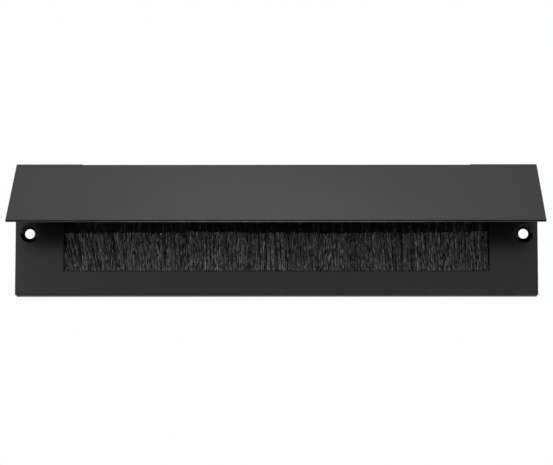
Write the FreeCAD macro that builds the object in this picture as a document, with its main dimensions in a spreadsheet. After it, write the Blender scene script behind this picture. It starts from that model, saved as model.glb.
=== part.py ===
"""Letterbox draught excluder: a slotted base plate with two strip brushes and a flap hinged along its top.

X runs along the plate, Y into the door and Z up. The origin lies midway between the two screw
holes, on the rear face of the plate's web. Sizes are in millimetres and degrees.
"""

import os
import re

import FreeCAD
import Part
import Sketcher

SIZES = {
    # base plate
    "plate_length": 305.0,
    "plate_depth": 12.0,
    "plate_foot": 36.0,
    "web_thickness": 3.0,
    "leg_thickness": 1.8,
    "foot_edge_radius": 0.5,
    "plate_end_radius": 0.3,
    "slot_end_margin": 28.3,
    "slot_height": 43.8,
    "slot_edge_radius": 0.5,
    "hole_end_margin": 8.2,
    "hole_diameter": 5.7,
    "countersink_diameter": 11.0,
    "countersink_angle": 90.0,
    "rib_offset": 6.5,
    "rib_thickness": 1.6,
    "rib_slot_gap": 4.0,
    # hinge
    "pivot_height": 36.5,
    "knuckle_radius": 3.05,
    "end_knuckle_length": 38.9,
    "knuckle_end_clearance": 0.4,
    "notch_clearance": 0.45,
    "swing_clearance": 0.35,
    "rod_diameter": 3.0,
    "rod_end_setback": 0.5,
    "rod_chamfer": 0.3,
    "rod_grip_clearance": 0.02,
    "rod_running_clearance": 0.05,
    "rest_open_angle": 55.6,
    # flap
    "flap_thickness": 1.5,
    "flap_foot_setback": 0.9,
    "flap_top_rise": 0.6,
    "flap_top_relief": 0.6,
    "flap_neck_height": 2.4,
    "flap_neck_bite": 0.85,
    "flap_corner_radius": 0.8,
    "flap_edge_radius": 0.4,
    "flap_inner_edge_radius": 0.6,
    # strip brushes and the grooves that hold them
    "brush_end_overlap": 1.5,
    "channel_width": 4.0,
    "channel_height": 5.0,
    "channel_wall": 0.6,
    "crimp_depth": 0.3,
    "crimp_height": 0.8,
    "wire_diameter": 1.2,
    "groove_clearance": 0.1,
    "groove_wall": 1.4,
    "groove_lip": 1.0,
    "groove_lip_reach": 0.6,
    # filaments
    "filament_clearance": 0.05,
    "root_rise": 1.0,
    "tuft_pitch": 2.2,
    "tuft_root_width": 1.85,
    "tuft_tip_width": 1.2,
    "tuft_thickness": 1.9,
    "tuft_overlap": 0.8,
    "tuft_forward_lean": 2.6,
    "tuft_side_lean": 1.0,
    "tuft_lean_spread": 0.35,
    "tuft_tip_slant": 0.5,
    "tuft_tip_spread": 0.7,
    "core_thickness": 0.9,
    "core_setback": 0.7,
}

ALONG_X = FreeCAD.Vector(1, 0, 0)
ALONG_Y = FreeCAD.Vector(0, 1, 0)
ALONG_Z = FreeCAD.Vector(0, 0, 1)

doc = FreeCAD.newDocument("letterbox_draught_excluder")
sheet = doc.addObject("Spreadsheet::Sheet", "Sizes")
for row, (name, value) in enumerate(SIZES.items(), start=1):
    sheet.set(f"A{row}", name)
    sheet.set(f"B{row}", str(value))
    sheet.setAlias(f"B{row}", name)
doc.recompute()


def sized(text):
    """An expression in which each size's name refers to its cell."""
    return re.sub(r"[a-z_]+", lambda m: f"Sizes.{m[0]}" if m[0] in SIZES else m[0], text)


def size(text):
    """An expression's value now."""
    return float(sheet.evalExpression(sized(text).replace("Sizes.", "")))


# Places that several pieces share.
REAR = "(plate_depth - web_thickness)"
PIVOT_Y = "(knuckle_radius - web_thickness)"
SLOT_LENGTH = "(plate_length - 2 * slot_end_margin)"
HOLE_X = "(plate_length / 2 - hole_end_margin)"
FLAP_INNER = "(knuckle_radius + swing_clearance)"
FLAP_OUTER = "(knuckle_radius + swing_clearance + flap_thickness)"
FLAP_REACH = "(pivot_height + plate_foot - flap_foot_setback)"
BASE_KNUCKLE_LENGTH = "(plate_length - 2 * end_knuckle_length - 2 * knuckle_end_clearance)"
RELIEF_LENGTH = "(plate_length - 2 * end_knuckle_length)"
NOTCH_FLOOR = "(pivot_height - knuckle_radius - notch_clearance)"
BRUSH_Y = "(groove_clearance + channel_width / 2)"
BRUSH_LENGTH = "(plate_length - 2 * slot_end_margin + 2 * brush_end_overlap)"
GROOVE_DEPTH = "(channel_width + 2 * groove_clearance)"
LIP_UNDERSIDE = "(slot_height / 2 + groove_lip)"
GROOVE_FLOOR = "(slot_height / 2 + groove_lip + channel_height + 2 * groove_clearance)"
CHANNEL_MOUTH = "(slot_height / 2 + groove_lip + groove_clearance)"
CHANNEL_FLOOR = "(slot_height / 2 + groove_lip + groove_clearance + channel_height - channel_wall)"
PACK_HALF = "(channel_width / 2 - channel_wall - filament_clearance)"
NECK_HALF = "(channel_width / 2 - channel_wall - crimp_depth - filament_clearance)"
WIRE_DROP = f"({CHANNEL_FLOOR} - filament_clearance - {PACK_HALF})"
ROOT_TOP = f"({CHANNEL_MOUTH} - root_rise)"
TUFT_LENGTH = f"({ROOT_TOP} + tuft_overlap)"
TUFTS_OF_A_KIND = f"floor(({BRUSH_LENGTH} + tuft_pitch) / (3 * tuft_pitch))"


def new_body(name):
    body = doc.addObject("PartDesign::Body", name)
    body.Label = name
    return body


def datum(body, role):
    return next(item for item in body.Origin.OriginFeatures if item.Role == role)


def new_sketch(body, name, plane):
    sketch = body.newObject("Sketcher::SketchObject", name)
    sketch.AttachmentSupport = [(datum(body, plane), "")]
    sketch.MapMode = "FlatFace"
    return sketch


def bind(sketch, kind, place, text):
    """One constraint that follows the sheet."""
    value = float(sketch.evalExpression(sized(text)))
    index = sketch.addConstraint(Sketcher.Constraint(kind, *place, value))
    sketch.setExpression(f"Constraints[{index}]", sized(text))


def add_outline(sketch, corners):
    """A closed outline with each corner bound across and up from the sketch's origin."""
    points = []
    for across, up in corners:
        x = float(sketch.evalExpression(sized(across)))
        y = float(sketch.evalExpression(sized(up)))
        points.append(FreeCAD.Vector(x, y, 0))
    lines = [Part.LineSegment(start, end) for start, end in zip(points, points[1:] + points[:1])]
    first = sketch.addGeometry(lines)[0]
    for step, (across, up) in enumerate(corners):
        line = first + step
        following = first + (step + 1) % len(corners)
        sketch.addConstraint(Sketcher.Constraint("Coincident", line, 2, following, 1))
        bind(sketch, "DistanceX", (-1, 1, line, 1), across)
        bind(sketch, "DistanceY", (-1, 1, line, 1), up)


def add_rectangle(sketch, left, right, low, high):
    add_outline(sketch, [(left, low), (right, low), (right, high), (left, high)])


def add_circle(sketch, across, up, radius):
    x = float(sketch.evalExpression(sized(across)))
    y = float(sketch.evalExpression(sized(up)))
    r = float(sketch.evalExpression(sized(radius)))
    circle = sketch.addGeometry(Part.Circle(FreeCAD.Vector(x, y, 0), FreeCAD.Vector(0, 0, 1), r))
    bind(sketch, "DistanceX", (-1, 1, circle, 3), across)
    bind(sketch, "DistanceY", (-1, 1, circle, 3), up)
    bind(sketch, "Radius", (circle,), radius)


def pad(body, sketch, length):
    """Material to both sides of the sketch's plane."""
    feature = body.newObject("PartDesign::Pad", sketch.Name + "_pad")
    feature.Profile = sketch
    feature.SideType = "Symmetric"
    feature.setExpression("Length", sized(length))
    return feature


def cut(body, sketch, length=None, sides="Symmetric"):
    """A cut to both sides of the sketch's plane, through everything unless a length is given."""
    feature = body.newObject("PartDesign::Pocket", sketch.Name + "_cut")
    feature.Profile = sketch
    feature.SideType = sides
    if length is None:
        feature.Type = "ThroughAll"
    else:
        feature.setExpression("Length", sized(length))
    return feature


def mirror(body, features, plane, name):
    feature = body.newObject("PartDesign::Mirrored", name)
    feature.Originals = features
    feature.MirrorPlane = (datum(body, plane), [""])
    body.Tip = feature
    return feature


def treat_edges(body, kind, name, amount, wanted):
    """Rounds or chamfers the edges of the body's last feature that the test picks."""
    doc.recompute()
    tip = body.Tip
    names = [f"Edge{n}" for n, edge in enumerate(tip.Shape.Edges, start=1) if wanted(edge)]
    feature = body.newObject(f"PartDesign::{kind}", name)
    feature.Base = (tip, names)
    feature.setExpression("Radius" if kind == "Fillet" else "Size", sized(amount))
    return feature


def near(a, b):
    return abs(a - b) < 1e-4


def edge_runs(edge, axis):
    """Is the edge straight and along this axis?"""
    if edge.Curve.TypeId != "Part::GeomLine":
        return False
    return abs(abs(edge.Curve.Direction.dot(axis)) - 1) < 1e-6


def build_base_plate():
    body = new_body("base_plate")

    web = new_sketch(body, "web", "YZ_Plane")
    add_rectangle(web, "-web_thickness", "0", "-plate_foot", "pivot_height")
    pad(body, web, "plate_length")

    lower_leg = new_sketch(body, "lower_leg", "YZ_Plane")
    add_rectangle(lower_leg, "-web_thickness", REAR, "-plate_foot", "leg_thickness - plate_foot")
    pad(body, lower_leg, "plate_length")

    front = -size("web_thickness")
    foot = -size("plate_foot")
    treat_edges(
        body,
        "Fillet",
        "foot_edge",
        "foot_edge_radius",
        lambda edge: edge_runs(edge, ALONG_X)
        and near(edge.CenterOfMass.y, front)
        and near(edge.CenterOfMass.z, foot),
    )
    treat_edges(
        body,
        "Fillet",
        "plate_ends",
        "plate_end_radius",
        lambda edge: edge_runs(edge, ALONG_Z) and near(edge.CenterOfMass.y, front),
    )

    # The long knuckle, and the upper leg that leaves it along its top.
    knuckle = new_sketch(body, "knuckle", "YZ_Plane")
    add_circle(knuckle, PIVOT_Y, "pivot_height", "knuckle_radius")
    pad(body, knuckle, BASE_KNUCKLE_LENGTH)
    upper_leg = new_sketch(body, "upper_leg", "YZ_Plane")
    add_rectangle(
        upper_leg,
        PIVOT_Y,
        REAR,
        "pivot_height + knuckle_radius - leg_thickness",
        "pivot_height + knuckle_radius",
    )
    pad(body, upper_leg, BASE_KNUCKLE_LENGTH)

    # Each groove holds a brush channel behind the web, under two lips at the slot's edge.
    groove = new_sketch(body, "groove", "YZ_Plane")
    add_outline(
        groove,
        [
            ("0", f"-{GROOVE_FLOOR} - groove_wall"),
            (f"{GROOVE_DEPTH} + groove_wall", f"-{GROOVE_FLOOR} - groove_wall"),
            (f"{GROOVE_DEPTH} + groove_wall", "-slot_height / 2"),
            (f"{GROOVE_DEPTH} - groove_lip_reach", "-slot_height / 2"),
            (f"{GROOVE_DEPTH} - groove_lip_reach", f"-{LIP_UNDERSIDE}"),
            (GROOVE_DEPTH, f"-{LIP_UNDERSIDE}"),
            (GROOVE_DEPTH, f"-{GROOVE_FLOOR}"),
            ("0", f"-{GROOVE_FLOOR}"),
        ],
    )
    add_rectangle(groove, "0", "groove_lip_reach", f"-{LIP_UNDERSIDE}", "-slot_height / 2")
    lower_groove = pad(body, groove, "plate_length")
    rib = new_sketch(body, "stand_off_rib", "YZ_Plane")
    add_rectangle(rib, "0", REAR, "-rib_offset - rib_thickness", "-rib_offset")
    lower_rib = pad(body, rib, "plate_length")
    mirror(body, [lower_groove, lower_rib], "XY_Plane", "upper_groove_and_rib")

    slot = new_sketch(body, "letter_slot", "XZ_Plane")
    add_rectangle(
        slot, f"-{SLOT_LENGTH} / 2", f"{SLOT_LENGTH} / 2", "-slot_height / 2", "slot_height / 2"
    )
    cut(body, slot)
    slot_end = size(f"{SLOT_LENGTH} / 2")
    slot_side = size("slot_height / 2")
    treat_edges(
        body,
        "Fillet",
        "slot_edge",
        "slot_edge_radius",
        lambda edge: near(edge.CenterOfMass.y, front)
        and (
            edge_runs(edge, ALONG_X) and near(abs(edge.CenterOfMass.z), slot_side)
            or edge_runs(edge, ALONG_Z) and near(abs(edge.CenterOfMass.x), slot_end)
        ),
    )
    brush_room = new_sketch(body, "brush_room", "XZ_Plane")
    add_rectangle(
        brush_room,
        f"-{SLOT_LENGTH} / 2 - rib_slot_gap",
        f"{SLOT_LENGTH} / 2 + rib_slot_gap",
        "-slot_height / 2",
        "slot_height / 2",
    )
    cut(body, brush_room, sides="One side")

    # The upper corners make room for the flap's knuckles.
    notch = new_sketch(body, "end_notch", "XZ_Plane")
    add_rectangle(
        notch,
        f"{BASE_KNUCKLE_LENGTH} / 2",
        "plate_length",
        NOTCH_FLOOR,
        "pivot_height + 2 * knuckle_radius",
    )
    add_rectangle(
        notch,
        "-plate_length",
        f"-{BASE_KNUCKLE_LENGTH} / 2",
        NOTCH_FLOOR,
        "pivot_height + 2 * knuckle_radius",
    )
    cut(body, notch)

    bore = new_sketch(body, "rod_bore", "YZ_Plane")
    add_circle(bore, PIVOT_Y, "pivot_height", "rod_diameter / 2 + rod_grip_clearance")
    cut(body, bore)

    holes = new_sketch(body, "screw_places", "XZ_Plane")
    holes.setExpression("AttachmentOffset.Base.z", sized("web_thickness"))
    add_circle(holes, f"-{HOLE_X}", "0", "hole_diameter / 2")
    add_circle(holes, HOLE_X, "0", "hole_diameter / 2")
    doc.recompute()
    screw_holes = body.newObject("PartDesign::Hole", "screw_holes")
    screw_holes.Profile = holes
    screw_holes.DepthType = "ThroughAll"
    screw_holes.Threaded = False
    screw_holes.setExpression("Diameter", sized("hole_diameter"))
    screw_holes.HoleCutType = "Countersink"
    screw_holes.HoleCutCustomValues = True
    screw_holes.setExpression("HoleCutDiameter", sized("countersink_diameter"))
    screw_holes.setExpression("HoleCutCountersinkAngle", sized("countersink_angle"))
    return body


def build_flap():
    """Drawn closed about its pivot, then turned to the angle at which it stands open."""
    body = new_body("flap")

    panel = new_sketch(body, "panel", "YZ_Plane")
    add_rectangle(panel, f"-{FLAP_OUTER}", f"-{FLAP_INNER}", f"-{FLAP_REACH}", "flap_top_rise")
    pad(body, panel, "plate_length")

    foot = -size(FLAP_REACH)
    treat_edges(
        body,
        "Fillet",
        "panel_corners",
        "flap_corner_radius",
        lambda edge: edge_runs(edge, ALONG_Y) and near(edge.CenterOfMass.z, foot),
    )
    for name, radius, face in (
        ("outer_edges", "flap_edge_radius", -size(FLAP_OUTER)),
        ("inner_edges", "flap_inner_edge_radius", -size(FLAP_INNER)),
    ):
        treat_edges(
            body,
            "Fillet",
            name,
            radius,
            lambda edge: near(edge.BoundBox.YMin, face)
            and near(edge.BoundBox.YMax, face)
            and edge.CenterOfMass.z < 0.5 * foot,
        )

    # The knuckle runs the whole length on a short neck, and is then milled off between the ends.
    neck = new_sketch(body, "neck", "YZ_Plane")
    add_rectangle(
        neck,
        f"-{FLAP_INNER} - flap_neck_bite",
        "-rod_diameter / 2",
        "-flap_neck_height",
        "flap_top_rise",
    )
    pad(body, neck, "plate_length")
    barrel = new_sketch(body, "barrel", "YZ_Plane")
    add_circle(barrel, "0", "0", "knuckle_radius")
    pad(body, barrel, "plate_length")
    relief = new_sketch(body, "relief", "YZ_Plane")
    add_rectangle(
        relief, f"-{FLAP_INNER}", "2 * knuckle_radius", "-2 * knuckle_radius", "2 * knuckle_radius"
    )
    cut(body, relief, RELIEF_LENGTH)
    top_relief = new_sketch(body, "top_relief", "YZ_Plane")
    add_rectangle(
        top_relief,
        f"-{FLAP_OUTER} - flap_thickness",
        "0",
        "flap_top_rise - flap_top_relief",
        "2 * knuckle_radius",
    )
    cut(body, top_relief, RELIEF_LENGTH)
    bore = new_sketch(body, "flap_bore", "YZ_Plane")
    add_circle(bore, "0", "0", "rod_diameter / 2 + rod_running_clearance")
    cut(body, bore)

    body.Placement.Rotation = FreeCAD.Rotation(FreeCAD.Vector(-1, 0, 0), 1)
    body.setExpression("Placement.Rotation.Angle", sized("rest_open_angle"))
    body.setExpression("Placement.Base.y", sized(PIVOT_Y))
    body.setExpression("Placement.Base.z", sized("pivot_height"))
    return body


def build_hinge_rod():
    body = new_body("hinge_rod")
    section = new_sketch(body, "rod_section", "YZ_Plane")
    add_circle(section, "0", "0", "rod_diameter / 2")
    pad(body, section, "plate_length - 2 * rod_end_setback")
    treat_edges(
        body,
        "Chamfer",
        "rod_ends",
        "rod_chamfer",
        lambda edge: edge.Curve.TypeId == "Part::GeomCircle",
    )
    body.setExpression("Placement.Base.y", sized(PIVOT_Y))
    body.setExpression("Placement.Base.z", sized("pivot_height"))
    return body


def place_strip(body, turned):
    """Sets a piece of a strip brush in its groove. The upper strip is the lower one turned over."""
    body.setExpression("Placement.Base.y", sized(BRUSH_Y))
    if turned:
        body.Placement.Rotation = FreeCAD.Rotation(FreeCAD.Vector(1, 0, 0), 180)


def build_channel(side, turned):
    body = new_body(f"{side}_brush_channel")
    section = new_sketch(body, f"{side}_channel_section", "YZ_Plane")
    outer = "channel_width / 2"
    inner = "(channel_width / 2 - channel_wall)"
    lip = "(channel_width / 2 - channel_wall - crimp_depth)"
    mouth = f"-{CHANNEL_MOUTH}"
    crimp = f"-{CHANNEL_MOUTH} - crimp_height"
    floor = f"-{CHANNEL_FLOOR}"
    half = [
        (outer, f"{floor} - channel_wall"),
        (outer, mouth),
        (lip, mouth),
        (lip, crimp),
        (inner, crimp),
        (inner, floor),
    ]
    other_half = [(f"-{across}", up) for across, up in reversed(half)]
    add_outline(section, half + other_half)
    pad(body, section, BRUSH_LENGTH)
    place_strip(body, turned)
    return body


def build_wire(side, turned):
    body = new_body(f"{side}_brush_wire")
    section = new_sketch(body, f"{side}_wire_section", "YZ_Plane")
    add_circle(section, "0", f"-{WIRE_DROP}", "wire_diameter / 2")
    pad(body, section, BRUSH_LENGTH)
    place_strip(body, turned)
    return body


def leaning_sketch(body, name):
    """A sketch at the filaments' root, leaning forward with them."""
    sketch = new_sketch(body, name, "XZ_Plane")
    sketch.AttachmentOffset = FreeCAD.Placement(
        FreeCAD.Vector(), FreeCAD.Rotation(FreeCAD.Vector(1, 0, 0), 1)
    )
    sketch.setExpression("AttachmentOffset.Rotation.Angle", sized("tuft_forward_lean"))
    sketch.setExpression("AttachmentOffset.Base.y", sized(f"-{ROOT_TOP}"))
    return sketch


def build_bristles(side, turned):
    """Filaments folded over the wire, crimped at the channel's mouth and gathered in uneven tufts."""
    body = new_body(f"{side}_bristles")
    root = new_sketch(body, f"{side}_root", "YZ_Plane")
    half = [
        (PACK_HALF, f"-{CHANNEL_FLOOR} + filament_clearance"),
        (PACK_HALF, f"-{CHANNEL_MOUTH} - crimp_height - filament_clearance"),
        (NECK_HALF, f"-{CHANNEL_MOUTH} - crimp_height - filament_clearance"),
        (NECK_HALF, f"-{ROOT_TOP}"),
    ]
    other_half = [(f"-{across}", up) for across, up in reversed(half)]
    add_outline(root, half + other_half)
    pad(body, root, BRUSH_LENGTH)
    fold = new_sketch(body, f"{side}_fold", "YZ_Plane")
    add_circle(fold, "0", f"-{WIRE_DROP}", "wire_diameter / 2 + filament_clearance")
    cut(body, fold)

    # The core closes the brush between its tufts.
    core = leaning_sketch(body, f"{side}_core")
    add_outline(
        core,
        [
            (f"-{BRUSH_LENGTH} / 2", "-root_rise / 2"),
            (f"{BRUSH_LENGTH} / 2", "-root_rise / 2"),
            (f"{BRUSH_LENGTH} / 2 - tuft_side_lean", f"{TUFT_LENGTH} - core_setback"),
            (f"-{BRUSH_LENGTH} / 2 - tuft_side_lean", f"{TUFT_LENGTH} - core_setback"),
        ],
    )
    pad(body, core, "core_thickness")

    # Three kinds of tuft follow one another along the strip.
    for kind in range(3):
        tuft = leaning_sketch(body, f"{side}_tuft_{kind}")
        foot = f"(tuft_pitch * {kind + 0.5} - {BRUSH_LENGTH} / 2)"
        lean = f"(tuft_side_lean + tuft_lean_spread * {kind - 1})"
        tip = f"({TUFT_LENGTH} - tuft_tip_spread * {kind * 2 % 3 - 1})"
        slant = f"(tuft_tip_slant * {1 - kind})"
        add_outline(
            tuft,
            [
                (f"{foot} - tuft_root_width / 2", "-root_rise / 2"),
                (f"{foot} + tuft_root_width / 2", "-root_rise / 2"),
                (f"{foot} - {lean} + tuft_tip_width / 2", f"{tip} - {slant}"),
                (f"{foot} - {lean} - tuft_tip_width / 2", f"{tip} + {slant}"),
            ],
        )
        first = pad(body, tuft, "tuft_thickness")
        doc.recompute()
        row = body.newObject("PartDesign::LinearPattern", f"{side}_tuft_row_{kind}")
        row.Originals = [first]
        row.Direction = (datum(body, "X_Axis"), [""])
        row.Mode = "Spacing"
        row.setExpression("Offset", sized("3 * tuft_pitch"))
        row.setExpression("Occurrences", sized(TUFTS_OF_A_KIND))
        body.Tip = row
        doc.recompute()
    place_strip(body, turned)
    return body


pieces = [build_base_plate(), build_flap(), build_hinge_rod()]
for side, turned in (("lower", False), ("upper", True)):
    pieces.append(build_channel(side, turned))
    pieces.append(build_wire(side, turned))
    pieces.append(build_bristles(side, turned))
doc.recompute()

for item in doc.Objects:
    faults = {"Invalid", "Error"} & set(item.State)
    if faults:
        raise RuntimeError(f"{item.Name} is {faults}")
for piece in pieces:
    if piece.Shape.isNull() or not piece.Shape.isValid() or not piece.Shape.Solids:
        raise RuntimeError(f"{piece.Label} has no valid solid")

os.makedirs("parts", exist_ok=True)
for piece in pieces:
    piece.Shape.exportStep(f"parts/{piece.Label}.step")
    box = piece.Shape.BoundBox
    print(
        piece.Label,
        f"{piece.Shape.Volume:.1f} mm3",
        f"x {box.XMin:.2f} to {box.XMax:.2f}",
        f"y {box.YMin:.2f} to {box.YMax:.2f}",
        f"z {box.ZMin:.2f} to {box.ZMax:.2f}",
    )
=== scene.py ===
import math

import bpy
import numpy as np
from mathutils import Matrix, Vector


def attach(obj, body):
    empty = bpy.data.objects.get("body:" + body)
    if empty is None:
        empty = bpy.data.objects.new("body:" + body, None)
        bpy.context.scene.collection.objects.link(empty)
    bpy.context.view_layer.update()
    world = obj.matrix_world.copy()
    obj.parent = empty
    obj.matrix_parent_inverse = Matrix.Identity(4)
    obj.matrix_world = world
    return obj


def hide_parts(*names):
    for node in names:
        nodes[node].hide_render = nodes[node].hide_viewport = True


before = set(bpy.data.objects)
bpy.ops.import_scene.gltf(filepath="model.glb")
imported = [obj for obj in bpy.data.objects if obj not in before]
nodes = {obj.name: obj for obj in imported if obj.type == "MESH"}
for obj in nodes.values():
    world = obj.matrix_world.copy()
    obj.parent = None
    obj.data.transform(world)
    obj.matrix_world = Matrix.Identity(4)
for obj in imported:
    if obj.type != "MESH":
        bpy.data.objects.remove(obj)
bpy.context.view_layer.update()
MM = 0.001


# Materials

# A noise lies mostly in this band. Scales of noises are features to the metre.
NOISE_BAND = (0.3, 0.7)
WHOLE_BAND = (0, 1)

# Places of a Mix node's colour sockets.
MIX_A = 6
MIX_B = 7
MIX_RESULT = 2

# The black coat of the plate and the flap.
COAT_GREY = 0.0014
COAT_SPECKLE = 0.3
COAT_IOR = 1.4
PLATE_ROUGHNESS = 0.225
FLAP_ROUGHNESS = 0.24
ROUGHNESS_DRIFT = 0.02
DRY_ROUGHNESS = 0.6
DRY_FACING = (-0.9, -0.6)
GRAIN_SCALE = 3200
GRAIN_HEIGHT = 0.002 * MM
PEEL_SCALE = 520
PEEL_HEIGHT = 0.004 * MM
DRIFT_SCALE = 24

# Painted light on the flap: a painted highlight along its lower rim and a painted sheen on its face, with
# their greys and the bands of direction or place in which they end.
FAINTEST_PAINTED_LIGHT = 0.55
RIM_HIGHLIGHT_GREY = 0.42
RIM_PATCH_SCALE = 160
RIM_FACING_DOWN = (-0.68, -0.6)
RIM_FACING_FORWARD = (0.2, 0.4)
RIM_PLACE = (-57 * MM, -56 * MM)
RIM_MIDDLE = (55 * MM, 110 * MM)
RIM_END_HIGHLIGHT = 0.25
FACE_SHEEN_GREY = 0.026
FACE_PATCH_SCALE = 30
FACE_FACING_UP = (0.6, 0.7)
FACE_PLACE = (-58 * MM, -2 * MM)
FACE_MIDDLE = (20 * MM, 140 * MM)
FACE_END_SHEEN = 0.35

# Zinc-plated steel, drawn along the plate.
STEELS = {
    "rod_steel": {"dark": (0.42, 0.42, 0.43), "light": (0.56, 0.56, 0.57), "roughness": 0.3},
    "channel_steel": {"dark": (0.33, 0.34, 0.35), "light": (0.5, 0.51, 0.52), "roughness": 0.42},
    "wire_steel": {"dark": (0.4, 0.4, 0.41), "light": (0.52, 0.52, 0.53), "roughness": 0.34},
}
SPANGLE_SCALE = 260
DRAWN_SCALE = 1400
DRAWN_STRETCH = (0.03, 1, 1)
DRAWN_HEIGHT = 0.006 * MM
DRAWN_SMOOTHER = 0.08
DRAWN_ROUGHER = 0.1

# Black filaments. Their gloss is a specular level, by strand, by height and by crimp.
DARK_FILAMENT = 0.002
LIGHT_FILAMENT = 0.016
FILAMENT_IOR = 1.6
FILAMENT_ROUGHNESS = (0.22, 0.34)
DULL_STRAND = 0.03
GLOSSY_STRAND = 0.95
# Tips glossier than roots: partly rubbed, partly painted light in the flap's shade.
TIP_GLOSS = 1.33
ROOT_GLOSS = 0.97
TIP_TO_ROOT = (0, 22 * MM)
DULL_CRIMP = 0.15
GLINTING_CRIMP = 2.0
CRIMP_BAND = (0.33, 0.67)
CRIMP_SCALE = 340
CRIMP_HEIGHT = 0.2 * MM
SCUFF_SCALE = 900
SCUFF_STRETCH = (1, 1, 0.25)
SCUFF_HEIGHT = 0.003 * MM


def grey(level):
    return (level, level, level)


def add_node(tree, kind, **settings):
    """A new node with its sockets or properties set by name."""
    node = tree.nodes.new(kind)
    for key, value in settings.items():
        if key in node.inputs:
            node.inputs[key].default_value = value
        else:
            setattr(node, key, value)
    return node


def new_material(name):
    """A material with its tree, its shader and its coordinates."""
    material = bpy.data.materials.new(name)
    material.use_nodes = True
    tree = material.node_tree
    coords = add_node(tree, "ShaderNodeTexCoord").outputs
    return material, tree, tree.nodes["Principled BSDF"], coords


def split(tree, vector):
    """A vector's X, Y and Z."""
    parts = add_node(tree, "ShaderNodeSeparateXYZ")
    tree.links.new(vector, parts.inputs["Vector"])
    return parts.outputs


def combine(tree, operation, *sources):
    """One step of arithmetic on sockets and plain numbers."""
    result = add_node(tree, "ShaderNodeMath", operation=operation)
    for socket, source in zip(result.inputs, sources):
        if isinstance(source, bpy.types.NodeSocket):
            tree.links.new(source, socket)
        else:
            socket.default_value = source
    return result.outputs["Value"]


def noise(tree, place, scale, detail=2.0, stretch=None):
    """Cloudy grain, drawn out along an axis where stretch says so."""
    if stretch:
        mapping = add_node(tree, "ShaderNodeMapping")
        mapping.inputs["Scale"].default_value = stretch
        tree.links.new(place, mapping.inputs["Vector"])
        place = mapping.outputs["Vector"]
    texture = add_node(tree, "ShaderNodeTexNoise", Scale=scale, Detail=detail)
    tree.links.new(place, texture.inputs["Vector"])
    return texture.outputs["Fac"]


def spread(tree, source, low, high, band=NOISE_BAND):
    """Runs between two values as the source crosses a band."""
    remap = add_node(tree, "ShaderNodeMapRange")
    remap.inputs["From Min"].default_value = band[0]
    remap.inputs["From Max"].default_value = band[1]
    remap.inputs["To Min"].default_value = low
    remap.inputs["To Max"].default_value = high
    tree.links.new(source, remap.inputs["Value"])
    return remap.outputs["Result"]


def tint(tree, source, dark, light, socket, band=NOISE_BAND):
    """Runs a colour socket between two colours as the source crosses a band."""
    ramp = add_node(tree, "ShaderNodeValToRGB")
    for stop, position, colour in zip(ramp.color_ramp.elements, band, (dark, light)):
        stop.position = position
        stop.color = (*colour, 1)
    tree.links.new(source, ramp.inputs["Fac"])
    tree.links.new(ramp.outputs["Color"], socket)


def raise_bumps(tree, bsdf, layers):
    """Stacks bumps, each a height in metres over its source."""
    normal = None
    for source, height in layers:
        bump = add_node(tree, "ShaderNodeBump", Strength=1.0, Distance=height)
        tree.links.new(source, bump.inputs["Height"])
        if normal:
            tree.links.new(normal, bump.inputs["Normal"])
        normal = bump.outputs["Normal"]
    tree.links.new(normal, bsdf.inputs["Normal"])


def satin_coat(name, roughness, dry_roughness=0.0):
    """Black stoved coat: a fine grain, a faint orange peel and a slow drift of the gloss.

    Faces that look down catch less of the spray, so their coat can be drier and duller.
    """
    material, tree, bsdf, coords = new_material(name)
    grain = noise(tree, coords["Object"], GRAIN_SCALE)
    peel = noise(tree, coords["Object"], PEEL_SCALE)
    drift = noise(tree, coords["Object"], DRIFT_SCALE, detail=3)
    dark = grey(COAT_GREY * (1 - COAT_SPECKLE))
    light = grey(COAT_GREY * (1 + COAT_SPECKLE))
    tint(tree, grain, dark, light, bsdf.inputs["Base Color"])
    drifting = spread(tree, drift, roughness - ROUGHNESS_DRIFT, roughness + ROUGHNESS_DRIFT)
    dry = spread(tree, split(tree, coords["Normal"])["Z"], dry_roughness, 0, DRY_FACING)
    tree.links.new(combine(tree, "MAXIMUM", drifting, dry), bsdf.inputs["Roughness"])
    bsdf.inputs["IOR"].default_value = COAT_IOR
    raise_bumps(tree, bsdf, [(peel, PEEL_HEIGHT), (grain, GRAIN_HEIGHT)])
    return material


def paint_coat_light(tree, bsdf, painted_grey, patches, limits):
    """Lightens the coat towards a painted grey inside limits, as painted light.

    Each limit is a source, the painted light below and above a band of it, and that band.
    """
    painted_light = spread(tree, patches, FAINTEST_PAINTED_LIGHT, 1.0)
    for source, below, above, band in limits:
        painted_light = combine(tree, "MULTIPLY", painted_light, spread(tree, source, below, above, band))
    coat = bsdf.inputs["Base Color"].links[0].from_socket
    mix = add_node(tree, "ShaderNodeMix", data_type="RGBA")
    tree.links.new(painted_light, mix.inputs["Factor"])
    tree.links.new(coat, mix.inputs[MIX_A])
    mix.inputs[MIX_B].default_value = (*grey(painted_grey), 1)
    tree.links.new(mix.outputs[MIX_RESULT], bsdf.inputs["Base Color"])


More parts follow.
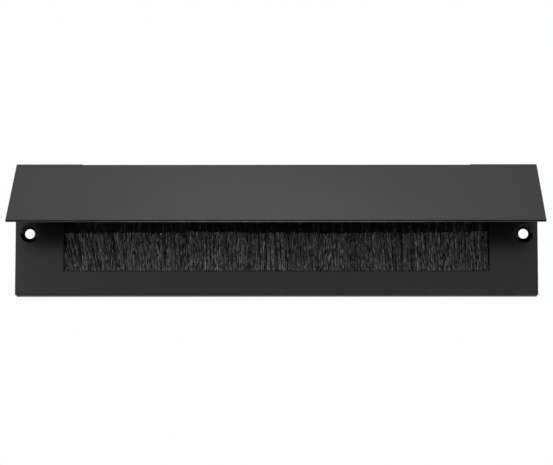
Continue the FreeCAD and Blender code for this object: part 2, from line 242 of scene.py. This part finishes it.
def paint_flap_light(material):
    """Painted light on the flap: a painted highlight along its thin lower rim, and a painted sheen that
    pales its face towards the rim, both strongest in the middle.
    """
    tree = material.node_tree
    bsdf = tree.nodes["Principled BSDF"]
    coords = add_node(tree, "ShaderNodeTexCoord").outputs
    facing = split(tree, coords["Normal"])
    place = split(tree, coords["Object"])
    off_middle = combine(tree, "ABSOLUTE", place["X"])
    # Painted highlight along the lower rim, where it faces down and forward.
    paint_coat_light(tree, bsdf, RIM_HIGHLIGHT_GREY, noise(tree, coords["Object"], RIM_PATCH_SCALE, detail=3), (
        (facing["Z"], 1, 0, RIM_FACING_DOWN),
        (facing["Y"], 1, 0, RIM_FACING_FORWARD),
        (place["Y"], 1, 0, RIM_PLACE),
        (off_middle, 1, RIM_END_HIGHLIGHT, RIM_MIDDLE),
    ))
    # Painted sheen on the upward face, paler towards the rim.
    paint_coat_light(tree, bsdf, FACE_SHEEN_GREY, noise(tree, coords["Object"], FACE_PATCH_SCALE, detail=3), (
        (facing["Z"], 0, 1, FACE_FACING_UP),
        (place["Y"], 1, 0, FACE_PLACE),
        (off_middle, 1, FACE_END_SHEEN, FACE_MIDDLE),
    ))
    return material


def plated_steel(name, dark, light, roughness):
    """Zinc on steel: patches of its spangle and fine lines along the way it was drawn."""
    material, tree, bsdf, coords = new_material(name)
    patches = noise(tree, coords["Object"], SPANGLE_SCALE, detail=3)
    lines = noise(tree, coords["Object"], DRAWN_SCALE, stretch=DRAWN_STRETCH)
    tint(tree, patches, dark, light, bsdf.inputs["Base Color"])
    bsdf.inputs["Metallic"].default_value = 1.0
    drawn = spread(tree, lines, roughness - DRAWN_SMOOTHER, roughness + DRAWN_ROUGHER)
    tree.links.new(drawn, bsdf.inputs["Roughness"])
    raise_bumps(tree, bsdf, [(lines, DRAWN_HEIGHT)])
    return material


def nylon(name):
    """Black filament, each one a little lighter or darker than the next.

    Crimps make its strands glint here and there, and its tips are glossier than its roots, partly rubbed and
    partly painted light that lifts the tips in the flap's shade.
    """
    material, tree, bsdf, coords = new_material(name)
    shade = add_node(tree, "ShaderNodeAttribute", attribute_name="shade").outputs["Fac"]
    strand = add_node(tree, "ShaderNodeAttribute", attribute_name="strand").outputs["Fac"]
    height = split(tree, coords["Object"])["Z"]
    along_strand = add_node(tree, "ShaderNodeCombineXYZ")
    tree.links.new(strand, along_strand.inputs["X"])
    tree.links.new(height, along_strand.inputs["Z"])
    crimp = noise(tree, along_strand.outputs["Vector"], CRIMP_SCALE, detail=1)
    scuff = noise(tree, coords["Object"], SCUFF_SCALE, stretch=SCUFF_STRETCH)
    # The shade marks, and so the base colour, carry painted shade in the core and the upper strip and
    # painted light from the left.
    tint(tree, shade, grey(DARK_FILAMENT), grey(LIGHT_FILAMENT), bsdf.inputs["Base Color"], WHOLE_BAND)

    by_strand = spread(tree, shade, DULL_STRAND, GLOSSY_STRAND, WHOLE_BAND)
    # Glossier towards the tips: partly rubbed, partly painted light.
    by_height = spread(tree, combine(tree, "ABSOLUTE", height), TIP_GLOSS, ROOT_GLOSS, TIP_TO_ROOT)
    by_crimp = spread(tree, crimp, DULL_CRIMP, GLINTING_CRIMP, CRIMP_BAND)
    gloss_and_painted_shade = combine(tree, "MULTIPLY", combine(tree, "MULTIPLY", by_strand, by_height), by_crimp)
    tree.links.new(gloss_and_painted_shade, bsdf.inputs["Specular IOR Level"])
    tree.links.new(spread(tree, scuff, *FILAMENT_ROUGHNESS), bsdf.inputs["Roughness"])
    bsdf.inputs["IOR"].default_value = FILAMENT_IOR
    raise_bumps(tree, bsdf, [(crimp, CRIMP_HEIGHT), (scuff, SCUFF_HEIGHT)])
    return material


def dress(node, material):
    mesh = nodes[node].data
    mesh.materials.clear()
    mesh.materials.append(material)


steels = {name: plated_steel(name, **finish) for name, finish in STEELS.items()}
dress("base_plate", satin_coat("plate_coat", PLATE_ROUGHNESS, DRY_ROUGHNESS))
# The flap's coat carries painted light: a highlight on its rim and a sheen on its face.
dress("flap", paint_flap_light(satin_coat("flap_coat", FLAP_ROUGHNESS)))
dress("hinge_rod", steels["rod_steel"])
for side in ("lower", "upper"):
    dress(f"{side}_brush_channel", steels["channel_steel"])
    dress(f"{side}_brush_wire", steels["wire_steel"])


# Strip brushes, in millimetres, as the lower one stands. The upper one is the same kind turned over.

FULL_TURN = 2 * math.pi

# The strip, the slot that shows it, and the limits that filaments keep to.
BRUSH_HALF_LENGTH = 125.4
FULL_HALF_LENGTH = 124.0
SLOT_HALF_LENGTH = 124.2
BRUSH_Y = 2.1
NECK_HALF_DEPTH = 0.9
ROOT_HEIGHT = -24.2
HIGHEST_TIP = 1.8
LOWEST_TIP = -4.0
LEFT_OVERHANG = 0.9
FOREMOST = -4.4
REARMOST = 1.0
KEPT_BACK = 3.1
KEPT_BACK_MARGIN = 1.0
KEPT_BACK_WIDTH = 0.8

# A filament and its bends.
FILAMENT_RADIUS = 0.14
TIP_TAPER = 0.8
FACET_SEED = 5
ASIDE_BEND = 1.3
AHEAD_BEND = 1.8
CRIMP_Y_RATE = 1.3

# The tips' sway to one side, which is strongest where the left end was swept over, and their trim.
NOISE_REACH = 200
TRIM_HEIGHT = 0.8
TRIM_WAVE = 0.5
TRIM_WAVELENGTH = 19
SWAY = 1.2
SWEPT_SWAY = 4.4
SWEPT_X = -114
SWEPT_WIDTH = 24
SWAY_WAVE = 0.5
SWAY_WAVELENGTH = 11
UPRIGHT_END = 5

# How far locks differ from each other, and how far filaments gather into them.
LOCK_LOOSENESS = 0.2
LOCK_WAVE = 0.6
LOCK_WAVELENGTH = 5
LOCK_ASIDE = 0.2
LOCK_AHEAD = 0.22
LOCK_TIP = 0.25
LOCK_GATHER = 0.8

# How far strands differ within a lock. Their shade steps by the golden ratio, and falls off to the right as
# painted light from the left.
STRAND_DEPTH = 0.3
STRAND_ASIDE = 0.9
TANGLED_ASIDE = 1.6
TANGLED_X = -116
TANGLED_WIDTH = 16
STRAND_CRIMP_X = 0.38
STRAND_CRIMP_Y = 0.2
FEWEST_TURNS = 1.6
MOST_TURNS = 3.6
LEAST_SHADE = 0.15
SHADE_RANGE = 0.9
GOLDEN_STEP = 0.618
MIDDLE_SHADE = 0.89
PAINTED_LIGHT_FALL = 0.0014

# How far filaments differ within a strand.
FILAMENT_DEPTH = 0.06
FILAMENT_ASIDE = 0.12
FILAMENT_AHEAD = 0.08
FILAMENT_TIP = 0.16
FILAMENT_SHORTNESS = 0.28
FILAMENT_CRIMP = 0.05
FILAMENT_PHASE = 0.2
FILAMENT_SHADE = 0.12
STRAY_SHARE = 0.12
STRAY_ASIDE = 1.4

# The even rows inside the strip. Their low shade marks are painted shade, where they lie back behind the
# face.
ROW_DEPTHS = (-0.34, 0.58)
ROW_COUNT = 640
ROW_DEPTH_SPREAD = 0.1
ROW_ASIDE = 0.2
ROW_AHEAD = 0.1
ROW_SHORTNESS = 0.35
ROW_CRIMP = 0.1
ROW_TURNS = 1.4
ROW_PAINTED_SHADE = 0.35

# The packed middle.
MIDDLE_RINGS = 7
MIDDLE_COLUMNS = 1201
MIDDLE_FRONT = -0.12
MIDDLE_BACK = 0.4
RIB_DEPTH = 0.07
MIDDLE_SHORTNESS = 0.35
MIDDLE_RAGGEDNESS = 0.45
# The middle's low shade marks are painted shade deep in the strip.
MIDDLE_PAINTED_SHADE = 0.15

# The face, the back and the rest of the core. Counts are locks, strands to a lock and filaments to a strand.
FACE_COUNTS = (280, 2, 3)
FACE_DEPTH = -0.68
FACE_RINGS = 15
FACE_SIDES = 4
BACK_COUNTS = (130, 1, 4)
BACK_DEPTH = 0.72
CORE_RINGS = 6
CORE_SIDES = 5


def ease(part):
    """From 0 to 1 with a soft start and end."""
    return part * part * (3 - 2 * part)


def hump(x, centre, width):
    return np.exp(-(((x - centre) / width) ** 2))


def slow_noise(x, wavelength, seed):
    """A smooth random line along the strip, about one up or down."""
    knots = np.arange(-NOISE_REACH, NOISE_REACH, wavelength)
    heights = np.random.default_rng(seed).uniform(-1, 1, len(knots))
    place = np.interp(x, knots, np.arange(len(knots)))
    low = np.floor(place).astype(int)
    part = ease(place - low)
    return heights[low] * (1 - part) + heights[low + 1] * part


def even_row(count, half_length, rng, looseness=0.5):
    """Places along the strip, one in each of so many equal cells, off its middle by some part of a cell."""
    cells = np.arange(count) + 0.5 + rng.uniform(-looseness, looseness, count)
    return (cells / count * 2 - 1) * half_length


def sideways(x, seed, sway):
    """How far the tips at x stand off to one side."""
    upright_ends = np.clip((BRUSH_HALF_LENGTH - np.abs(x)) / UPRIGHT_END, 0, 1)
    swayed = sway * (SWAY + SWEPT_SWAY * hump(x, SWEPT_X, SWEPT_WIDTH))
    return (swayed + SWAY_WAVE * slow_noise(x, SWAY_WAVELENGTH, seed + 2)) * upright_ends


def trimmed_height(x, seed):
    """The wavy line to which the tips are trimmed."""
    return TRIM_HEIGHT + TRIM_WAVE * slow_noise(x, TRIM_WAVELENGTH, seed + 1)


def centrelines(rings, root_x, root_y, aside, ahead, tip_z, crimp_x=0.0, crimp_y=0.0, turns=0.0, phase=0.0):
    """Lines from root to tip: the higher, the further they lean."""
    def each(values):
        return np.broadcast_to(values, np.shape(root_x))[:, None]

    t = np.linspace(0, 1, rings)[None, :]
    angle = FULL_TURN * each(turns) * t + each(phase)
    wave_x = each(crimp_x) * np.sin(angle) * np.sqrt(t)
    wave_y = each(crimp_y) * np.cos(CRIMP_Y_RATE * angle) * np.sqrt(t)
    lines = np.empty((len(root_x), rings, 3))
    lines[:, :, 0] = each(root_x) + each(aside) * t ** ASIDE_BEND + wave_x
    lines[:, :, 1] = each(root_y) - each(ahead) * t ** AHEAD_BEND + wave_y
    lines[:, :, 2] = ROOT_HEIGHT + (each(tip_z) - ROOT_HEIGHT) * t

    # Close to the ends of the slot and past them, the plate keeps the filaments back.
    lines[:, :, 0] = np.clip(lines[:, :, 0], -BRUSH_HALF_LENGTH - LEFT_OVERHANG, BRUSH_HALF_LENGTH)
    to_slot_end = np.abs(lines[:, :, 0]) - SLOT_HALF_LENGTH
    past = np.clip((to_slot_end + KEPT_BACK_MARGIN) / KEPT_BACK_WIDTH, 0, 1)
    lines[:, :, 1] = np.clip(lines[:, :, 1], FOREMOST + KEPT_BACK * ease(past), REARMOST)
    return lines


def grow_locks(seed, sway, lean, rings, counts, depth, rng):
    """Filaments that stand evenly at their roots and gather into locks towards their tips.

    Each lock holds a few strands, which are crimped in their own ways and so cross each other, and each
    strand a few filaments. Beside the lines come marks, each line's shade and its strand's own number.
    """
    locks, strands, members = counts
    lock_x = even_row(locks, FULL_HALF_LENGTH, rng, LOCK_LOOSENESS)
    lean_aside = sideways(lock_x, seed, sway) + LOCK_WAVE * slow_noise(lock_x, LOCK_WAVELENGTH, seed + 3)
    lean_aside += rng.normal(0, LOCK_ASIDE, locks)
    lean_ahead = lean + rng.normal(0, LOCK_AHEAD, locks)
    lock_tip = trimmed_height(lock_x, seed) + rng.normal(0, LOCK_TIP, locks)

    lock = np.repeat(np.arange(locks), strands)
    n = len(lock)
    strand_y = depth + rng.uniform(-STRAND_DEPTH, STRAND_DEPTH, n)
    tangle = STRAND_ASIDE + TANGLED_ASIDE * hump(lock_x[lock], TANGLED_X, TANGLED_WIDTH)
    aside = lean_aside[lock] + tangle * rng.normal(0, 1, n)
    crimp_x = rng.normal(0, STRAND_CRIMP_X, n)
    crimp_y = rng.normal(0, STRAND_CRIMP_Y, n)
    turns = rng.uniform(FEWEST_TURNS, MOST_TURNS, n)
    phase = rng.uniform(0, FULL_TURN, n)
    strand_shade = LEAST_SHADE + SHADE_RANGE * (np.arange(n) * GOLDEN_STEP % 1)
    # Painted light from the left: the strands' shade falls off to the right.
    strand_shade *= MIDDLE_SHADE - PAINTED_LIGHT_FALL * lock_x[lock]
    own = rng.uniform(0, 1, n)

    strand = np.repeat(np.arange(n), members)
    lock = lock[strand]
    n = len(strand)
    root_x = even_row(n, FULL_HALF_LENGTH, rng)
    root_y = np.clip(strand_y[strand] + rng.normal(0, FILAMENT_DEPTH, n), -NECK_HALF_DEPTH, NECK_HALF_DEPTH)
    gather = LOCK_GATHER * (lock_x[lock] - root_x)
    stray = rng.uniform(0, 1, n) < STRAY_SHARE
    tip = lock_tip[lock] + rng.normal(0, FILAMENT_TIP, n) - rng.exponential(FILAMENT_SHORTNESS, n)
    lines = centrelines(
        rings, root_x, root_y,
        aside[strand] + gather + rng.normal(0, FILAMENT_ASIDE, n) + stray * rng.normal(0, STRAY_ASIDE, n),
        lean_ahead[lock] + rng.normal(0, FILAMENT_AHEAD, n),
        np.clip(tip, LOWEST_TIP, HIGHEST_TIP),
        crimp_x[strand] + rng.normal(0, FILAMENT_CRIMP, n),
        crimp_y[strand],
        turns[strand],
        phase[strand] + rng.normal(0, FILAMENT_PHASE, n),
    )
    shade = np.clip(strand_shade[strand] + rng.normal(0, FILAMENT_SHADE, n), 0, 1)
    return lines, np.stack([shade, own[strand]], axis=1)


def grow_row(seed, sway, lean, rings, count, depth, rng):
    """An even row of filaments inside the strip, with their marks."""
    x = even_row(count, BRUSH_HALF_LENGTH, rng)
    lines = centrelines(
        rings, x,
        depth + rng.uniform(-ROW_DEPTH_SPREAD, ROW_DEPTH_SPREAD, count),
        sideways(x, seed, sway) + rng.normal(0, ROW_ASIDE, count),
        lean + rng.normal(0, ROW_AHEAD, count),
        trimmed_height(x, seed) - rng.exponential(ROW_SHORTNESS, count),
        crimp_x=rng.normal(0, ROW_CRIMP, count),
        turns=ROW_TURNS,
        phase=rng.uniform(0, FULL_TURN, count),
    )
    # Low shade marks: painted shade where the rows lie back.
    return lines, np.stack([rng.uniform(0, ROW_PAINTED_SHADE, count), rng.uniform(0, 1, count)], axis=1)


def tubes(lines, marks, sides):
    """A slim tapering tube round each centreline: its corners, walls, end caps and marks.

    The caps have corners of their own, so that they don't round the look of the walls.
    """
    n, rings, _ = lines.shape
    angles = np.arange(sides) * FULL_TURN / sides
    turn = np.random.default_rng(FACET_SEED).uniform(0, FULL_TURN, n)[:, None] + angles[None, :]
    radius = FILAMENT_RADIUS * np.linspace(1.0, TIP_TAPER, rings)[None, :, None]
    corners = np.repeat(lines[:, :, None, :], sides, axis=2)
    corners[..., 0] += radius * np.cos(turn)[:, None, :]
    corners[..., 1] += radius * np.sin(turn)[:, None, :]
    corners = np.concatenate([corners, corners[:, :1], corners[:, -1:]], axis=1)

    around = np.arange(sides)
    after = (around + 1) % sides
    quads = np.concatenate([
        np.stack([around, after, after + sides, around + sides], axis=1) + ring * sides
        for ring in range(rings - 1)
    ])
    ends = np.stack([around[::-1] + rings * sides, around + (rings + 1) * sides])
    each = (rings + 2) * sides
    starts = (np.arange(n) * each)[:, None, None]
    walls = (quads[None] + starts).reshape(-1, 4)
    caps = (ends[None] + starts).reshape(-1, sides)
    return corners.reshape(-1, 3), walls, caps, np.repeat(marks, each, axis=0)


def packed_middle(seed, sway, lean, rng):
    """The filaments in the middle of the strip, so close together that they stand as one ribbed wall."""
    x = np.linspace(-BRUSH_HALF_LENGTH, BRUSH_HALF_LENGTH, MIDDLE_COLUMNS)
    rib = RIB_DEPTH * (-1.0) ** np.arange(MIDDLE_COLUMNS)
    tip = trimmed_height(x, seed) - MIDDLE_SHORTNESS - rng.uniform(0, MIDDLE_RAGGEDNESS, MIDDLE_COLUMNS)
    front, back = (
        centrelines(MIDDLE_RINGS, x, depth + way * rib, sideways(x, seed, sway), lean, tip)
        for depth, way in ((MIDDLE_FRONT, 1), (MIDDLE_BACK, -1))
    )
    loops = np.concatenate([front, back[:, ::-1]], axis=1)
    around = loops.shape[1]
    here = np.arange(around)
    following = (here + 1) % around
    quads = np.stack([here, here + around, following + around, following], axis=1)
    walls = (quads[None] + (np.arange(MIDDLE_COLUMNS - 1) * around)[:, None, None]).reshape(-1, 4)
    caps = np.stack([here, here[::-1] + (MIDDLE_COLUMNS - 1) * around])
    # Low shade marks: painted shade deep in the strip.
    shade = rng.uniform(0, MIDDLE_PAINTED_SHADE, MIDDLE_COLUMNS)
    own = rng.uniform(0, 1, MIDDLE_COLUMNS)
    return loops.reshape(-1, 3), walls, caps, np.repeat(np.stack([shade, own], axis=1), around, axis=0)


def brush_mesh(name, chunks, gloss_and_painted_shade, turn):
    """One mesh of several chunks, turned over or not, with each point's shade and strand; a scale below one
    on the shade is painted shade.
    """
    points, walls, caps, marks = [], [], [], []
    start = 0
    for chunk_points, chunk_walls, chunk_caps, chunk_marks in chunks:
        points.append(chunk_points * turn + np.array([0, BRUSH_Y, 0]))
        walls += (chunk_walls + start).tolist()
        caps += (chunk_caps + start).tolist()
        # A scale below one darkens colour and gloss: painted shade.
        marks.append(chunk_marks * [gloss_and_painted_shade, 1])
        start += len(chunk_points)
    mesh = bpy.data.meshes.new(name)
    mesh.from_pydata((np.concatenate(points) * MM).tolist(), [], walls + caps)
    mesh.polygons.foreach_set("use_smooth", [True] * len(walls) + [False] * len(caps))
    for mark, values in zip(("shade", "strand"), np.concatenate(marks).T.astype(np.float32)):
        mesh.attributes.new(mark, "FLOAT", "POINT").data.foreach_set("value", np.ascontiguousarray(values))
    mesh.update()
    return mesh


def make_brush(side, seed, sway, lean, gloss_and_painted_shade, turn):
    """A strip's filaments as two pieces, the core and the face that the slot shows."""
    rng = np.random.default_rng(seed)
    core = [packed_middle(seed, sway, lean, rng)]
    for depth in ROW_DEPTHS:
        core.append(tubes(*grow_row(seed, sway, lean, CORE_RINGS, ROW_COUNT, depth, rng), CORE_SIDES))
    face = [tubes(*grow_locks(seed, sway, lean, FACE_RINGS, FACE_COUNTS, FACE_DEPTH, rng), FACE_SIDES)]
    core.append(tubes(*grow_locks(seed, sway, lean, CORE_RINGS, BACK_COUNTS, BACK_DEPTH, rng), CORE_SIDES))
    for part, chunks in (("core", core), ("face", face)):
        name = f"{side}_brush_{part}"
        brush = bpy.data.objects.new(name, brush_mesh(name, chunks, gloss_and_painted_shade, turn))
        brush.data.materials.append(filament)
        bpy.context.scene.collection.objects.link(brush)
        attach(brush, "base")
        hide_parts(f"{side}_bristles")


# The lower strip leans forward.
# The upper one, turned over, hangs almost straight behind the lower one's tips, darkened as painted shade.
filament = nylon("filament")
make_brush("lower", seed=11, sway=-1, lean=2.0, gloss_and_painted_shade=1.0, turn=(1, 1, 1))
make_brush("upper", seed=23, sway=0.7, lean=-0.5, gloss_and_painted_shade=0.4, turn=(1, -1, -1))


# Floor, light and camera, in metres, with the lens in millimetres

WHITE = (1, 1, 1, 1)
FLOOR_HEIGHT = -0.6
FLOOR_RADIUS = 14.0
FLOOR_CORNERS = 96
FLOOR_DARK = 0.84
FLOOR_LIGHT = 0.88
FLOOR_INDIRECT = 0.4
FLOOR_ROUGHNESS = 0.8
FLOOR_GRAIN_SCALE = 40
FLOOR_WHITENS = (1.0, 3.5)

# Levels of the world, a white backdrop being one, and the bands of direction over which they change.
MATT_LEVEL = 0.6
HORIZON_LEVEL = 0.62
RAISED_LEVEL = 1.5
OVERHEAD_LEVEL = 0.9
SIDE_LEVEL = 0.5
RISING_BAND = (0.0, 0.3)
OVERHEAD_BAND = (0.3, 0.75)
OVERHEAD_CENTRE = -0.02
SIDE_BAND = (0.0, 0.12)

SOFTBOXES = {
    "left": {"place": (-0.85, -1.7, 0.42), "width": 0.9, "height": 1.0, "brightness": 1.75},
    "right": {"place": (1.5, -1.3, 0.22), "width": 0.9, "height": 1.0, "brightness": 1.4},
    "high_front": {"place": (-0.2, -1.1, 2.0), "width": 1.4, "height": 1.0, "brightness": 1.5},
}

CAMERA_PLACE = Vector((11.255, -1593.474, -203.056)) * MM
CAMERA_PITCH = math.radians(7.292)
CAMERA_YAW = math.radians(-0.404)
CAMERA_ROLL = math.radians(0.024)
FOCAL_LENGTH = 178.68
SENSOR_WIDTH = 36.0
CLIP_START = 0.05
CLIP_END = 60.0


def make_floor():
    """A round floor, pale and matt near the object and as white as the backdrop further off.

    Near the object, rays other than the camera's see it dimmer.
    """
    mesh = bpy.data.meshes.new("floor")
    corners = [
        (FLOOR_RADIUS * math.cos(angle), FLOOR_RADIUS * math.sin(angle), FLOOR_HEIGHT)
        for angle in np.linspace(0, FULL_TURN, FLOOR_CORNERS + 1)[:-1]
    ]
    mesh.from_pydata(corners, [], [list(range(FLOOR_CORNERS))])
    floor = bpy.data.objects.new("floor", mesh)
    bpy.context.scene.collection.objects.link(floor)

    material, tree, bsdf, coords = new_material("floor")
    colour = add_node(tree, "ShaderNodeMix", data_type="RGBA")
    tree.links.new(add_node(tree, "ShaderNodeLightPath").outputs["Is Camera Ray"], colour.inputs["Factor"])
    colour.inputs[MIX_A].default_value = (*grey(FLOOR_INDIRECT), 1)
    grain = noise(tree, coords["Object"], FLOOR_GRAIN_SCALE, detail=4)
    tint(tree, grain, grey(FLOOR_DARK), grey(FLOOR_LIGHT), colour.inputs[MIX_B])
    tree.links.new(colour.outputs[MIX_RESULT], bsdf.inputs["Base Color"])
    bsdf.inputs["Roughness"].default_value = FLOOR_ROUGHNESS
    distance = add_node(tree, "ShaderNodeVectorMath", operation="LENGTH")
    tree.links.new(coords["Object"], distance.inputs[0])
    white = add_node(tree, "ShaderNodeEmission", Strength=1.0)
    mix = add_node(tree, "ShaderNodeMixShader")
    tree.links.new(spread(tree, distance.outputs["Value"], 0, 1, FLOOR_WHITENS), mix.inputs["Fac"])
    tree.links.new(bsdf.outputs["BSDF"], mix.inputs[1])
    tree.links.new(white.outputs["Emission"], mix.inputs[2])
    tree.links.new(mix.outputs["Shader"], tree.nodes["Material Output"].inputs["Surface"])
    mesh.materials.append(material)


def make_world():
    """White to the eye, and at a plain level to matt surfaces.

    Reflections see it dim at the horizon, brightest a little above it, and dimmer again overhead,
    the more so off to the sides.
    """
    world = bpy.data.worlds.new("studio")
    bpy.context.scene.world = world
    world.use_nodes = True
    tree = world.node_tree
    plain = tree.nodes["Background"]
    plain.inputs["Color"].default_value = WHITE
    plain.inputs["Strength"].default_value = MATT_LEVEL
    white = add_node(tree, "ShaderNodeBackground", Color=WHITE, Strength=1.0)
    graded = add_node(tree, "ShaderNodeBackground", Color=WHITE)

    direction = split(tree, add_node(tree, "ShaderNodeTexCoord").outputs["Generated"])
    off_centre = combine(tree, "ABSOLUTE", combine(tree, "SUBTRACT", direction["X"], OVERHEAD_CENTRE))
    dimming = spread(
        tree, off_centre, OVERHEAD_LEVEL - RAISED_LEVEL, SIDE_LEVEL - RAISED_LEVEL, SIDE_BAND,
    )
    upward = spread(tree, direction["Z"], 0, 1, OVERHEAD_BAND)
    rising = spread(tree, direction["Z"], HORIZON_LEVEL, RAISED_LEVEL, RISING_BAND)
    tree.links.new(combine(tree, "MULTIPLY_ADD", dimming, upward, rising), graded.inputs["Strength"])

    path = add_node(tree, "ShaderNodeLightPath").outputs
    mirrored = combine(tree, "MAXIMUM", path["Is Glossy Ray"], path["Is Transmission Ray"])
    shown = plain.outputs["Background"]
    for seen, backdrop in ((mirrored, graded), (path["Is Camera Ray"], white)):
        mix = add_node(tree, "ShaderNodeMixShader")
        tree.links.new(seen, mix.inputs["Fac"])
        tree.links.new(shown, mix.inputs[1])
        tree.links.new(backdrop.outputs["Background"], mix.inputs[2])
        shown = mix.outputs["Shader"]
    tree.links.new(shown, tree.nodes["World Output"].inputs["Surface"])


def make_softbox(name, place, width, height, brightness):
    """A panel of light that faces the object, its brightness against a white backdrop's one."""
    lamp = bpy.data.lights.new(name, "AREA")
    lamp.shape = "RECTANGLE"
    lamp.size = width
    lamp.size_y = height
    lamp.energy = math.pi * width * height * brightness
    holder = bpy.data.objects.new(name, lamp)
    holder.location = place
    holder.rotation_mode = "QUATERNION"
    holder.rotation_quaternion = (-Vector(place)).to_track_quat("-Z", "Y")
    holder.visible_camera = False
    bpy.context.scene.collection.objects.link(holder)


def make_camera():
    """A long lens in front of the plate and a little below it, looking up."""
    level = Vector((math.cos(CAMERA_YAW), -math.sin(CAMERA_YAW), 0))
    ahead = Vector((math.sin(CAMERA_YAW), math.cos(CAMERA_YAW), 0))
    forward = ahead * math.cos(CAMERA_PITCH) + Vector((0, 0, math.sin(CAMERA_PITCH)))
    upright = -ahead * math.sin(CAMERA_PITCH) + Vector((0, 0, math.cos(CAMERA_PITCH)))
    right = level * math.cos(CAMERA_ROLL) + upright * math.sin(CAMERA_ROLL)
    up = upright * math.cos(CAMERA_ROLL) - level * math.sin(CAMERA_ROLL)
    lens = bpy.data.cameras.new("camera")
    lens.sensor_width = SENSOR_WIDTH
    lens.lens = FOCAL_LENGTH
    lens.clip_start = CLIP_START
    lens.clip_end = CLIP_END
    camera = bpy.data.objects.new("camera", lens)
    camera.matrix_world = Matrix((
        (right.x, up.x, -forward.x, CAMERA_PLACE.x),
        (right.y, up.y, -forward.y, CAMERA_PLACE.y),
        (right.z, up.z, -forward.z, CAMERA_PLACE.z),
        (0, 0, 0, 1),
    ))
    bpy.context.scene.collection.objects.link(camera)
    bpy.context.scene.camera = camera


make_floor()
make_world()
for name, panel in SOFTBOXES.items():
    make_softbox(name, **panel)
make_camera()
bpy.context.scene.view_settings.view_transform = "Standard"
